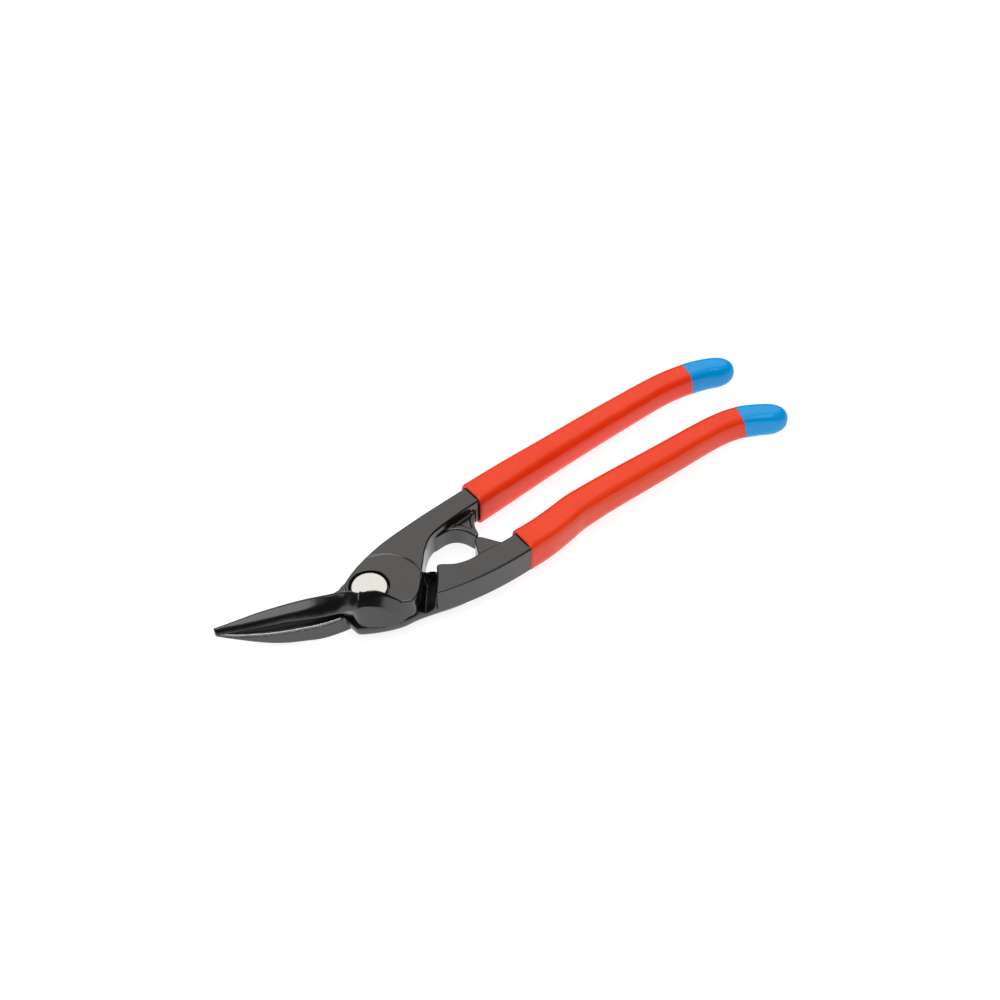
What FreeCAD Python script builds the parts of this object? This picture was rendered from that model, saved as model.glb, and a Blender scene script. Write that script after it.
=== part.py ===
# Single-pivot forged tin snips (universal pattern), about 250 mm long.
# Two forged halves on one shouldered pivot bolt, with dipped two-colour handles.
# Everything is first drawn in a working frame: origin on the pivot axis, z = 0 in the
# shear plane between the halves, blade tips towards -X, handles towards +X.  It is then
# shifted so that the row origin is the bottom centre of the whole tool's box.
import FreeCAD, Part
import os
import math

V = FreeCAD.Vector
os.makedirs("parts", exist_ok=True)

# ---- driving dimensions (mm) -------------------------------------------------
GAP = 0.04            # half of the working clearance between the two flat shear faces
SHANK_TOP = 9.9       # top of both shanks above the shear plane
SHANK_BOT = -3.2      # underside of both shanks
BOSS_TOP = 9.5        # top of the round boss of the upper half
HEAD_BOT = -8.8       # underside of the lower half's head
HEAD_R = 13.8         # radius of the lower head about the pivot
STEP_R = 14.9         # radius of the step under the upper half that clears it
BOLT_HEAD_R = 6.85
RECESS_R = 7.65
BOLT_HEAD_Z = 6.1     # underside of the bolt head
BOLT_TOP = 9.4
BOLT_R = 4.5          # smooth shoulder of the bolt
BORE_R = 4.55         # running bore in the upper half
NECK_FLAT = 3.9       # half distance across the two flats of the neck
NECK_Z = -3.9
THREAD_R = 4.0
NUT_R = 6.5
NUT_RECESS_R = 7.2
NUT_RECESS_Z = -4.2
NUT_H = 3.4
HORN_TOP = 6.2
HORN_BOT = -2.6
HANDLE_ZC = 3.4       # mid height of the handles
SLEEVE_W, SLEEVE_H = 12.6, 15.4     # sleeve section where it starts
SLEEVE_W2, SLEEVE_H2 = 10.6, 12.6   # sleeve section at the colour change
WALL_W, WALL_H = 1.75, 1.15         # coating thickness at the sides, at top and bottom
STATION = 6.0                       # spacing of the sections along a handle
COAT_PLAY = 0.03                    # the coating's bore stands this far off the steel
OPEN_DEG = 28.0

# ---- helpers -----------------------------------------------------------------
def poly(pts, z):
    vs = [V(p[0], p[1], z) for p in pts]
    return Part.makePolygon(vs + [vs[0]])

def prism(pts, z0, z1):
    return Part.Face(poly(pts, z0)).extrude(V(0, 0, z1 - z0))

def frustum(pts0, z0, pts1, z1):
    return Part.makeLoft([poly(pts0, z0), poly(pts1, z1)], True, True)

def cyl(r, z0, z1, x=0.0, y=0.0):
    return Part.makeCylinder(r, z1 - z0, V(x, y, z0), V(0, 0, 1))

def loft(sections):
    ws = []
    for s in sections:
        vs = [V(*p) for p in s]
        ws.append(Part.makePolygon(vs + [vs[0]]))
    return Part.makeLoft(ws, True, True)

def arc_pts(r, a0, a1, n, cx=0.0, cy=0.0):
    out = []
    for i in range(n + 1):
        a = math.radians(a0 + (a1 - a0) * i / n)
        out.append((cx + r * math.cos(a), cy + r * math.sin(a)))
    return out

def one(shape):
    s = shape.removeSplitter()
    if s.ShapeType == "Compound" and len(s.Solids) == 1:
        s = s.Solids[0]
    return s

# ---- handle centre lines (x, y) in the handle plane ---------------------------
LINE_U = [(46.0, 19.3), (52.5, 20.5), (59.3, 21.7), (71.5, 24.0), (83.9, 26.2), (96.4, 28.3), (109.2, 30.4),
          (122.0, 32.4), (135.1, 34.3), (148.3, 36.1), (157.0, 36.9), (165.0, 36.9), (172.7, 36.1),
          (178.4, 34.8), (183.6, 32.9), (188.3, 30.7)]
LINE_L = [(46.0, -11.3), (52.0, -10.6), (58.0, -9.5), (68.0, -8.1), (75.2, -6.5), (81.8, -4.7), (88.4, -2.9),
          (100.8, -1.0), (112.9, 0.4), (125.3, 1.7), (137.7, 3.1), (150.6, 4.6), (159.0, 5.4),
          (166.5, 5.5), (173.0, 4.6), (180.0, 2.2), (186.2, -0.9), (190.9, -3.4)]
SEAM_U, SEAM_L = 166.0, 170.5          # x of the colour change
SLEEVE_START_U, SLEEVE_START_L = 54.8, 60.0
CORE_END = 9.0                          # the steel stops this far before the tip's end

def resample(line, step):
    # even points on a Catmull-Rom curve through the given ones, with tangents
    pts = []
    n = len(line)
    for i in range(n - 1):
        p0 = line[max(i - 1, 0)]; p1 = line[i]; p2 = line[i + 1]; p3 = line[min(i + 2, n - 1)]
        for k in range(24):
            t = k / 24.0
            q = []
            for a in range(2):
                q.append(0.5 * (2 * p1[a] + (p2[a] - p0[a]) * t
                                + (2 * p0[a] - 5 * p1[a] + 4 * p2[a] - p3[a]) * t * t
                                + (3 * p1[a] - p0[a] - 3 * p2[a] + p3[a]) * t ** 3))
            pts.append(tuple(q))
    pts.append(line[-1])
    s = [0.0]
    for a, b in zip(pts, pts[1:]):
        s.append(s[-1] + math.hypot(b[0] - a[0], b[1] - a[1]))
    return pts, s

def at(track, d):
    pts, s = track
    d = min(max(d, 0.0), s[-1])
    for i in range(len(s) - 1):
        if s[i + 1] >= d:
            f = (d - s[i]) / max(s[i + 1] - s[i], 1e-9)
            p = (pts[i][0] + (pts[i + 1][0] - pts[i][0]) * f, pts[i][1] + (pts[i + 1][1] - pts[i][1]) * f)
            j0 = max(i - 6, 0); j1 = min(i + 7, len(pts) - 1)
            tx = pts[j1][0] - pts[j0][0]; ty = pts[j1][1] - pts[j0][1]
            L = math.hypot(tx, ty)
            return p, (tx / L, ty / L)

def dist_at_x(track, x):
    pts, s = track
    for i in range(len(s) - 1):
        if pts[i][0] <= x <= pts[i + 1][0]:
            f = (x - pts[i][0]) / (pts[i + 1][0] - pts[i][0])
            return s[i] + (s[i + 1] - s[i]) * f
    return s[-1]

def corner_points(track, d, w, h, r):
    # twelve points of a rounded rectangle, w across and h high, square to the line at d
    p, t = at(track, d)
    nrm = (-t[1], t[0])
    r = min(r, 0.48 * w, 0.48 * h)
    def P(a, b):
        return V(p[0] + nrm[0] * a, p[1] + nrm[1] * a, HANDLE_ZC + b)
    a, b = w / 2.0, h / 2.0
    k = r * (1 - math.sqrt(0.5))
    return [P(a, b - r), P(a - k, b - k), P(a - r, b),
            P(-a + r, b), P(-a + k, b - k), P(-a, b - r),
            P(-a, -b + r), P(-a + k, -b + k), P(-a + r, -b),
            P(a - r, -b), P(a - k, -b + k), P(a, -b + r)]

def wire_of(pts):
    e = []
    for i in (0, 3, 6, 9):
        e.append(Part.Arc(pts[i], pts[i + 1], pts[i + 2]).toShape())
        e.append(Part.LineSegment(pts[i + 2], pts[(i + 3) % 12]).toShape())
    return Part.Wire(e)

def tube(track, stations, d0, d1, size, r):
    # ruled loft through every shared station from d0 to d1, so core and coating nest exactly
    ds = [d for d in stations if d0 - 1e-6 <= d <= d1 + 1e-6]
    return Part.makeLoft([wire_of(corner_points(track, d, size(d)[0], size(d)[1], r)) for d in ds], True, True)

def sleeve_size(track, d_start, d_seam):
    def f(d):
        t = min(max((d - d_start) / (d_seam - d_start), 0.0), 1.0)
        t = t ** 1.3
        return (SLEEVE_W + (SLEEVE_W2 - SLEEVE_W) * t, SLEEVE_H + (SLEEVE_H2 - SLEEVE_H) * t)
    return f

def core_size(f, play=0.0):
    def g(d):
        w, h = f(d)
        return (w - 2 * WALL_W + 2 * play, h - 2 * WALL_H + 2 * play)
    return g

def handle(line, x_start, x_seam):
    track = resample(line, 1.0)
    L = track[1][-1]
    d0 = dist_at_x(track, x_start)
    ds = dist_at_x(track, x_seam)
    f = sleeve_size(track, d0, ds)
    e = L - CORE_END
    keys = [d0 - 4.0, d0 - 2.5, d0, ds - 2.5, ds, ds + 2.5, e, e + 0.05, L - 7.5]
    n = int(round((ds - 2.5 - d0) / STATION))
    keys += [d0 + (ds - 2.5 - d0) * i / n for i in range(1, n)]
    n = max(1, int(round((e - ds - 2.5) / STATION)))
    keys += [ds + 2.5 + (e - ds - 2.5) * i / n for i in range(1, n)]
    keys = sorted(keys)
    core = tube(track, keys, d0 - 4.0, e, core_size(f), 2.0)
    bore = core_size(f, COAT_PLAY)
    sleeve = tube(track, keys, d0, ds, f, 3.6).cut(tube(track, keys, d0 - 2.5, ds + 2.5, bore, 2.0))
    # end piece: a blind cap with a domed end
    cap_out = [wire_of(corner_points(track, d, f(d)[0], f(d)[1], 3.6)) for d in keys if ds - 1e-6 <= d < e + 0.01]
    w2, h2 = f(L)
    for back, k in ((7.5, 1.0), (5.8, 0.99), (4.2, 0.955), (2.6, 0.875), (1.3, 0.745), (0.4, 0.55), (0.0, 0.36)):
        cap_out.append(wire_of(corner_points(track, L - back, w2 * k, h2 * k, 3.6 * k)))
    cap = Part.makeLoft(cap_out, True, True).cut(tube(track, keys, ds - 2.5, e + 0.05, bore, 2.0))
    return one(core), one(sleeve), one(cap)

core_u, sleeve_u, cap_u = handle(LINE_U, SLEEVE_START_U, SEAM_U)
core_l, sleeve_l, cap_l = handle(LINE_L, SLEEVE_START_L, SEAM_L)

# ---- upper half --------------------------------------------------------------
# plan of the boss and shank, seen from above
FAR_U = [(-7.9, 5.6), (-5.4, 7.5), (-3.0, 9.1), (-0.6, 10.5), (1.6, 11.7), (4.1, 12.6), (7.8, 14.1), (12.0, 15.7),
         (16.0, 16.9), (22.0, 18.4), (27.9, 19.7), (33.7, 21.0), (39.6, 22.1), (45.5, 23.2), (52.0, 24.4)]
NEAR_U = [(53.0, 16.0), (49.5, 15.6), (44.6, 14.6), (39.7, 13.6), (34.8, 12.3), (32.2, 11.5), (30.2, 10.2),
          (28.6, 8.7), (27.2, 6.9), (25.8, 5.0), (23.2, 0.8), (20.4, -3.1)]
BOSS_EDGE = [(19.5, -4.3), (18.4, -6.4), (16.6, -9.1), (14.8, -11.3), (12.7, -13.0), (10.8, -13.9)]
FIN_F = [(8.0, -13.6), (5.0, -12.9), (2.0, -11.9), (-0.8, -10.7), (-3.4, -9.3), (-5.6, -7.6), (-7.3, -5.7),
         (-8.6, -3.7), (-9.5, -1.6), (-9.8, 0.3)]
SMILE = [(10.6, -13.9), (9.0, -14.1), (7.0, -14.4), (5.0, -14.3), (1.9, -13.8), (-0.6, -13.0), (-3.9, -11.4), (-7.0, -9.4),
         (-9.2, -7.9), (-9.9, -5.0), (-10.2, -2.0)]

boss_plan = FAR_U + NEAR_U + BOSS_EDGE + FIN_F
top_plan = prism(boss_plan, GAP, BOSS_TOP)
shank_slab = prism(FAR_U[5:] + NEAR_U, BOSS_TOP - 0.5, SHANK_TOP)
shank_slab = shank_slab.cut(cyl(14.9, 0.0, 20.0, 4.9, -2.5))
# the part of the shank that reaches below the shear plane, outside the lower head
step = arc_pts(STEP_R, 57.0, 33.0, 6)
low_plan = [(9.2, 14.7)] + step + [(18.2, 7.0), (25.9, 5.9), (28.5, 8.4), (31.2, 10.1), (33.5, 11.0), (36.0, 11.6),
            (39.7, 13.0), (44.6, 14.2), (49.5, 15.2), (53.0, 15.8), (52.0, 24.4), (45.5, 23.2), (39.6, 22.1), (33.7, 21.0),
            (27.9, 19.7), (22.0, 18.4), (16.0, 16.9), (12.0, 15.7)]
shank_low = prism(low_plan, SHANK_BOT, 0.5)
# bulged skirt of the boss, from the shear plane up to the fin's foot
smile_plan = SMILE + [(-6.0, 3.0), (4.0, 4.0), (12.0, -2.0), (12.5, -12.6)]
mid_plan = [(10.4, -13.6), (8.6, -13.7), (6.7, -13.9), (4.8, -13.6), (1.9, -13.0), (-0.6, -12.0), (-3.9, -10.3), (-6.6, -8.4),
            (-8.7, -6.4), (-9.7, -4.2), (-10.0, -2.0), (-6.0, 3.0), (4.0, 4.0), (12.0, -2.0), (12.5, -12.6)]
high_plan = [(10.2, -13.2), (8.2, -13.2), (6.0, -13.0), (3.6, -12.3), (1.4, -11.5), (-0.9, -10.4), (-3.6, -9.0), (-5.8, -7.3),
             (-7.6, -5.4), (-9.0, -3.4), (-9.6, -1.8), (-6.0, 3.0), (4.0, 4.0), (12.0, -2.0), (12.5, -12.6)]
skirt = frustum(smile_plan, GAP, mid_plan, 5.0).fuse(frustum(mid_plan, 5.0, high_plan, 9.0))

# fin and blade: one loft of five-cornered sections from the boss's near corner to the tip.
# each: foot x, y, unit normal to the far side, z foot, z ridge, crest z, crest inset near, far, foot width
ST = [
    (10.8, -13.7, 0.07, 1.00, 1.0, 8.6, 9.2, 0.3, 2.2, 2.4),
    (8.0, -13.6, 0.12, 0.99, 2.0, 9.2, 10.0, 0.5, 2.2, 2.5),
    (5.0, -12.9, 0.26, 0.97, 3.0, 11.2, 12.0, 0.6, 2.1, 2.6),
    (2.0, -11.9, 0.37, 0.93, 4.0, 13.6, 14.6, 0.8, 2.1, 2.6),
    (-0.8, -10.7, 0.43, 0.90, 5.0, 15.6, 16.6, 0.8, 2.0, 2.6),
    (-3.4, -9.3, 0.54, 0.84, 5.0, 16.6, 17.6, 0.8, 2.0, 2.4),
    (-5.6, -7.6, 0.68, 0.73, 4.0, 16.4, 17.4, 0.8, 1.9, 2.2),
    (-7.3, -5.7, 0.79, 0.61, 3.0, 15.0, 16.2, 0.8, 1.9, 2.2),
    (-8.8, -3.5, 0.80, 0.60, 1.6, 13.2, 14.4, 0.8, 2.1, 2.8),
    (-10.0, -1.2, 0.66, 0.75, 0.6, 11.4, 12.6, 0.9, 2.4, 3.6),
    (-12.3, 0.7, 0.40, 0.92, GAP, 9.5, 11.0, 1.1, 2.7, 4.6),
    (-16.8, 1.9, 0.26, 0.966, GAP, 8.5, 10.3, 1.3, 2.8, 4.8),
    (-22.5, 3.65, 0.26, 0.966, GAP, 6.8, 9.6, 1.6, 2.9, 4.6),
    (-28.1, 5.5, 0.27, 0.963, GAP, 5.0, 8.7, 1.8, 3.0, 4.4),
    (-36.6, 8.2, 0.27, 0.963, GAP, 3.9, 7.2, 1.7, 2.9, 4.0),
    (-42.3, 9.9, 0.27, 0.963, GAP, 3.5, 6.0, 1.5, 2.7, 3.7),
    (-48.0, 11.6, 0.27, 0.963, GAP, 3.0, 4.8, 1.2, 2.3, 3.2),
    (-52.2, 12.9, 0.27, 0.963, GAP, 2.4, 3.8, 0.9, 1.9, 2.7),
    (-56.0, 14.4, 0.27, 0.963, GAP, 1.5, 2.6, 0.6, 1.5, 2.1),
]
secs = []
for (x, y, nx, ny, zf, zr, zc, c0, c1, wf) in ST:
    q = math.hypot(nx, ny); nx /= q; ny /= q
    secs.append([(x, y, zf), (x, y, zr), (x + nx * c0, y + ny * c0, zc),
                 (x + nx * c1, y + ny * c1, zc - 0.1), (x + nx * wf, y + ny * wf, zf)])
blade_u = None
for a, b in zip(secs, secs[1:]):
    pc = loft([a, b])
    blade_u = pc if blade_u is None else blade_u.fuse(pc)
# web that ties the blade's foot to the boss on the left of the bolt
web = prism([(-9.9, 0.2), (-13.5, 1.4), (-13.0, 5.6), (-7.9, 5.7), (-6.0, 3.0)], GAP, 9.3)

# stop horn on the inner side of the shank
HORN_U = [(38.9, 14.4), (40.6, 12.0), (43.2, 9.2), (45.2, 6.4), (46.4, 4.2), (48.1, 3.75), (49.1, 4.6), (49.4, 8.1), (50.2, 10.8),
          (52.6, 13.6), (53.0, 17.5), (45.0, 17.0)]
horn_u = prism(HORN_U, HORN_BOT, HORN_TOP)

upper = top_plan.fuse([skirt, blade_u, web, shank_slab, shank_low, horn_u, core_u])
upper = upper.cut(cyl(BORE_R, -12, 30))
upper = upper.cut(cyl(RECESS_R, BOLT_HEAD_Z - 0.05, 30))
upper = one(upper)

# ---- lower half --------------------------------------------------------------
FAR_L = [(58.0, -5.3), (53.5, -5.9), (47.6, -6.2), (43.0, -6.6), (39.2, -7.2), (35.9, -7.0), (32.6, -6.3), (30.0, -4.9), (27.7, -3.6), (26.3, -3.6)]
SHOULDER = [(25.4, -5.8), (23.4, -9.6), (21.2, -13.0), (19.9, -15.0)]
NEAR_L = [(22.3, -15.6), (25.4, -16.1), (30.2, -16.4), (35.5, -16.8), (40.7, -16.8), (46.3, -16.6), (53.1, -16.0), (58.5, -15.3)]
shank_l = prism(FAR_L + SHOULDER + NEAR_L, SHANK_BOT, SHANK_TOP)
ramp = loft([[(26.8, 2.0, -3.0), (30.0, -1.6, -3.0), (33.0, -6.5, -3.0), (20.0, -14.4, -3.0), (15.8, -13.6, -3.0)],
             [(26.8, 2.0, -GAP), (29.4, -1.2, -GAP), (32.6, -6.0, -GAP), (20.0, -14.4, -GAP), (15.8, -13.6, -GAP)]])
ramp2 = loft([[(26.0, 0.6, -0.4), (29.4, -1.2, -0.4), (32.6, -6.0, -0.4), (20.2, -14.9, -0.4), (19.6, -14.4, -0.4), (23.6, -8.0, -0.4)],
              [(26.3, -3.2, 4.0), (28.0, -3.2, 4.0), (31.2, -5.6, 4.0), (21.0, -15.2, 4.0), (20.2, -14.8, 4.0), (24.4, -7.6, 4.0)]])
NEAR_HEAD = [(35.6, -16.4), (25.4, -15.8), (20.3, -15.0), (15.3, -14.4), (11.7, -14.3), (8.4, -14.5), (5.2, -14.3), (1.4, -13.4),
             (-2.2, -12.3), (-5.8, -11.0), (-9.3, -9.4), (-10.2, -8.4)]
head_plan = [(26.8, 2.2), (25.6, 2.7), (24.4, 3.5), (22.8, 3.7), (18.0, 4.1)] + arc_pts(HEAD_R, 19.0, 172.0, 26) + \
            [(-12.4, -1.5), (-10.6, -1.7), (-10.5, -5.0)] + NEAR_HEAD[::-1] + [(34.0, -6.8), (30.0, -1.6)]
head_top = prism(head_plan, SHANK_BOT, -GAP)
bot_plan = arc_pts(12.6, 10.0, 170.0, 24) + [(-10.2, -1.8), (-9.6, -5.0), (-7.6, -6.6), (-3.0, -8.2), (2.0, -8.9), (8.0, -9.0), (13.0, -8.0), (15.5, -4.0)]
mid2_plan = arc_pts(13.6, 10.0, 170.0, 24) + [(-10.6, -1.7), (-10.3, -8.2), (-8.6, -9.6), (-3.0, -11.9), (2.0, -13.3), (8.0, -14.2), (15.0, -13.6), (20.0, -5.0)]
head_low = frustum(bot_plan, HEAD_BOT, mid2_plan, SHANK_BOT + 0.02)
# lower blade: near face on the cutting edge, flat top, rounded belly
BL = [
    # edge x, y, depth below the shear plane, width at the top, width at the bottom, inset of the lower near corner
    (-8.5, -1.7, 8.7, 13.0, 10.6, 0.2),
    (-12.6, -1.6, 8.7, 12.4, 10.2, 0.2),
    (-18.2, -1.0, 8.7, 11.2, 8.8, 0.2),
    (-22.5, -0.2, 8.2, 10.4, 8.0, 0.25),
    (-27.0, 1.1, 7.4, 9.6, 7.2, 0.3),
    (-32.6, 2.8, 6.5, 8.6, 6.2, 0.35),
    (-38.1, 4.8, 5.3, 7.6, 5.4, 0.4),
    (-43.5, 7.2, 3.9, 6.2, 4.4, 0.4),
    (-48.7, 9.8, 2.8, 4.6, 3.2, 0.4),
    (-52.3, 12.0, 2.0, 3.5, 2.4, 0.35),
    (-56.0, 14.5, 1.3, 2.2, 1.5, 0.3),
]
secs = []
for (x, y, d, w0, w1, ins) in BL:
    nx, ny = 0.25, 0.968
    secs.append([(x, y, -GAP), (x, y, -0.75 * d), (x + nx * (ins + 0.9), y + ny * (ins + 0.9), -d),
                 (x + nx * w1, y + ny * w1, -d), (x + nx * w0, y + ny * w0, -0.45 * d), (x + nx * w0, y + ny * w0, -GAP)])
blade_l = None
for a, b in zip(secs, secs[1:]):
    pc = loft([a, b])
    blade_l = pc if blade_l is None else blade_l.fuse(pc)

HORN_L = [(43.6, -8.5), (43.8, -4.6), (45.1, -0.4), (45.9, 2.0), (46.9, 3.25), (48.5, 3.3), (50.7, 1.0), (52.7, -1.5), (55.4, -4.4), (56.0, -8.5)]
horn_l = prism(HORN_L, HORN_BOT, HORN_TOP)

lower = head_top.fuse([head_low, shank_l, ramp, ramp2, blade_l, horn_l, core_l])
neck = cyl(BORE_R, -12, 12).common(Part.makeBox(40, 2 * (NECK_FLAT + 0.05), 40, V(-20, -(NECK_FLAT + 0.05), -20)))
lower = lower.cut(neck)
lower = lower.cut(cyl(NUT_RECESS_R, -20, NUT_RECESS_Z))
lower = one(lower)

# ---- pivot bolt, washer and nut ------------------------------------------------
head = cyl(BOLT_HEAD_R, BOLT_HEAD_Z, BOLT_TOP)
shoulder = cyl(BOLT_R, -GAP, BOLT_HEAD_Z + 0.1)
neck_b = cyl(BOLT_R, NECK_Z, -GAP + 0.01).common(Part.makeBox(40, 2 * NECK_FLAT, 40, V(-20, -NECK_FLAT, -20)))
thread = cyl(THREAD_R - 0.1, -8.5, NECK_Z + 0.1)
bolt = one(head.fuse([shoulder, neck_b, thread]))
try:
    edges = [e for e in bolt.Edges if abs(e.BoundBox.ZMin - BOLT_TOP) < 1e-6 and abs(e.BoundBox.ZMax - BOLT_TOP) < 1e-6]
    bolt = bolt.makeChamfer(0.25, edges)
except Exception:
    pass

# conical spring washer between the lower half and the nut
wz1 = NUT_RECESS_Z - 0.02
w_in, w_out, w_t, w_h = THREAD_R + 0.15, 6.4, 0.55, 0.35
prof = [V(w_in, 0, wz1 - w_h), V(w_out, 0, wz1), V(w_out, 0, wz1 - w_t), V(w_in, 0, wz1 - w_h - w_t)]
washer = Part.Face(Part.makePolygon(prof + [prof[0]])).revolve(V(0, 0, 0), V(0, 0, 1), 360)

nz1 = wz1 - w_h - w_t - 0.01
nut = cyl(NUT_R, nz1 - NUT_H, nz1).cut(cyl(THREAD_R, -20, 10))
for a in (0, 90):
    slot = Part.makeBox(16, 1.8, 1.6, V(-8, -0.9, nz1 - NUT_H - 0.1))
    slot.rotate(V(0, 0, 0), V(0, 0, 1), a)
    ring = slot.cut(cyl(4.6, -20, 10))
    nut = nut.cut(ring)
nut = one(nut)

# ---- output --------------------------------------------------------------------
NODES = {
    "upper_blade_half": upper,
    "lower_blade_half": lower,
    "pivot_bolt": bolt,
    "spring_washer": washer,
    "pivot_nut": nut,
    "upper_handle_sleeve": sleeve_u,
    "upper_sleeve_tip": cap_u,
    "lower_handle_sleeve": sleeve_l,
    "lower_sleeve_tip": cap_l,
}
box = None
for s in NODES.values():
    b = s.optimalBoundingBox(False) if hasattr(s, "optimalBoundingBox") else s.BoundBox
    if box is None:
        box = FreeCAD.BoundBox(b)
    else:
        box.add(b)
SHIFT = V(-0.5 * (box.XMin + box.XMax), -0.5 * (box.YMin + box.YMax), -box.ZMin)
print("box", box.XMin, box.XMax, box.YMin, box.YMax, box.ZMin, box.ZMax)
print("shift", SHIFT)
for name, s in NODES.items():
    s = s.copy()
    s.translate(SHIFT)
    print(name, s.ShapeType, "solids", len(s.Solids), "valid", s.isValid(), "vol", round(s.Volume, 1), "faces", len(s.Faces))
    s.exportStep("parts/%s.step" % name)
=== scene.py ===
# Looks of the tin snips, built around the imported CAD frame.
# Shapes are worked out in a tool frame in millimetres (origin on the pivot axis, z = 0 in the
# shear plane, blades towards -X) and written in metres in the row frame.
import bpy
import math
import numpy as np
from mathutils import Vector, Matrix


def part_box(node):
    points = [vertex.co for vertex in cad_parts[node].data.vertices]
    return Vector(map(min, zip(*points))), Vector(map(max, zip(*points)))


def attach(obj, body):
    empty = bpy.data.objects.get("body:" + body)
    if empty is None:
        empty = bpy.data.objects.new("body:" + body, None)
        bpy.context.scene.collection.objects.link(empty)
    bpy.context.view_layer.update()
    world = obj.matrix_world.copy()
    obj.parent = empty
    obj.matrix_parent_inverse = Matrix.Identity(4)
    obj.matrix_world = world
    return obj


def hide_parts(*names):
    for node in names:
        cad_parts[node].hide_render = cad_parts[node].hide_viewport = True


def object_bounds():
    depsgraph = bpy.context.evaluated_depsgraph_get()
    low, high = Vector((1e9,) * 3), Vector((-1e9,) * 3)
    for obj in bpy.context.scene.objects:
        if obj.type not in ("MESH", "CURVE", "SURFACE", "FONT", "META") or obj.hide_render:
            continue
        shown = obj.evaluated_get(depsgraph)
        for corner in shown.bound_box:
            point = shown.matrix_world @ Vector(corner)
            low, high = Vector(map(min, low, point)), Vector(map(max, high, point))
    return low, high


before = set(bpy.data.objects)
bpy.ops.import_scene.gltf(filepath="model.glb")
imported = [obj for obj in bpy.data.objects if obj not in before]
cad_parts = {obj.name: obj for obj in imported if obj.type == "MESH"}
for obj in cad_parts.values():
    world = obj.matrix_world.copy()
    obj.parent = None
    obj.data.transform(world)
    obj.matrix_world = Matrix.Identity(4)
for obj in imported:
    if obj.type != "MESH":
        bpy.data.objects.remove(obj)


def plain(b):
    return [[float(v) for v in p] for p in b]


CAD_BOX = plain(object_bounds())
lo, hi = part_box("pivot_bolt")
OX, OY = 0.5 * (lo.x + hi.x), 0.5 * (lo.y + hi.y)
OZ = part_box("lower_blade_half")[0].z + 0.0088


def to_row(p):
    p = np.asarray(p, float)
    return p * 0.001 + np.array([OX, OY, OZ])


# ------------------------------------------------------------------ camera, floor, light
scene = bpy.context.scene
AZ, EL = math.radians(-30.0), math.radians(48.7)
back = Vector((math.sin(AZ) * math.cos(EL), -math.cos(AZ) * math.cos(EL), math.sin(EL)))
cam_data = bpy.data.cameras.new("camera")
cam_data.sensor_fit = "HORIZONTAL"
cam_data.sensor_width = 36.0
cam_data.lens = 54.0
cam_data.clip_start = 0.01
cam_data.clip_end = 20.0
cam = bpy.data.objects.new("camera", cam_data)
scene.collection.objects.link(cam)
cam.location = Vector(to_row((-128.95, -320.02, 446.70)))
cam.rotation_euler = (back).to_track_quat("Z", "Y").to_euler()
scene.camera = cam


# ------------------------------------------------------------------ field meshing
def grid_mesh(F, origin, h):
    """Surface of the zero level of F (negative inside) as vertices and quads."""
    S = F < 0
    nx, ny, nz = F.shape
    cnt = np.zeros((nx - 1, ny - 1, nz - 1), np.int8)
    for a in (0, 1):
        for b in (0, 1):
            for c in (0, 1):
                cnt += S[a:nx - 1 + a, b:ny - 1 + b, c:nz - 1 + c]
    act = (cnt > 0) & (cnt < 8)
    I, J, K = np.nonzero(act)
    n = len(I)
    idx = -np.ones(act.shape, np.int64)
    idx[I, J, K] = np.arange(n)
    corner = [(a, b, c) for a in (0, 1) for b in (0, 1) for c in (0, 1)]
    val = [F[I + a, J + b, K + c].astype(np.float64) for a, b, c in corner]
    pos = np.zeros((n, 3))
    num = np.zeros(n)
    for e0 in range(8):
        for e1 in range(e0 + 1, 8):
            d = [corner[e1][q] - corner[e0][q] for q in range(3)]
            if sum(abs(v) for v in d) != 1:
                continue
            fa, fb = val[e0], val[e1]
            m = (fa < 0) != (fb < 0)
            t = np.where(m, fa / np.where(m, fa - fb, 1.0), 0.0)
            for q in range(3):
                pos[:, q] += np.where(m, corner[e0][q] + t * d[q], 0.0)
            num += m
    pos /= num[:, None]
    V = (np.c_[I, J, K] + pos) * h + np.asarray(origin)
    quads = []
    for ax in range(3):
        sl0 = [slice(None)] * 3
        sl1 = [slice(None)] * 3
        sl0[ax] = slice(0, -1)
        sl1[ax] = slice(1, None)
        A = S[tuple(sl0)]
        B = S[tuple(sl1)]
        ch = A != B
        e = np.argwhere(ch)
        u, v = (ax + 1) % 3, (ax + 2) % 3
        ok = (e[:, u] > 0) & (e[:, v] > 0) & (e[:, u] < F.shape[u] - 1) & (e[:, v] < F.shape[v] - 1)
        e = e[ok]
        inside_first = A[e[:, 0], e[:, 1], e[:, 2]]

        def cell(du, dv):
            c = e.copy()
            c[:, u] += du
            c[:, v] += dv
            return idx[c[:, 0], c[:, 1], c[:, 2]]
        q = np.c_[cell(-1, -1), cell(0, -1), cell(0, 0), cell(-1, 0)]
        q[~inside_first] = q[~inside_first][:, ::-1]
        quads.append(q)
    Q = np.concatenate(quads)
    return V, Q


def newton(f, V, h, steps=3):
    """Moves the vertices onto the exact surface."""
    V = V.copy()
    e = 0.02
    for _ in range(steps):
        f0 = f(V[:, 0], V[:, 1], V[:, 2])
        g = np.c_[f(V[:, 0] + e, V[:, 1], V[:, 2]) - f0,
                  f(V[:, 0], V[:, 1] + e, V[:, 2]) - f0,
                  f(V[:, 0], V[:, 1], V[:, 2] + e) - f0] / e
        g2 = np.maximum((g * g).sum(1), 0.25)
        step = -(f0 / g2)[:, None] * g
        L = np.linalg.norm(step, axis=1)
        k = np.minimum(1.0, 0.35 * h / np.maximum(L, 1e-9))
        V += step * k[:, None]
    return V


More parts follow.
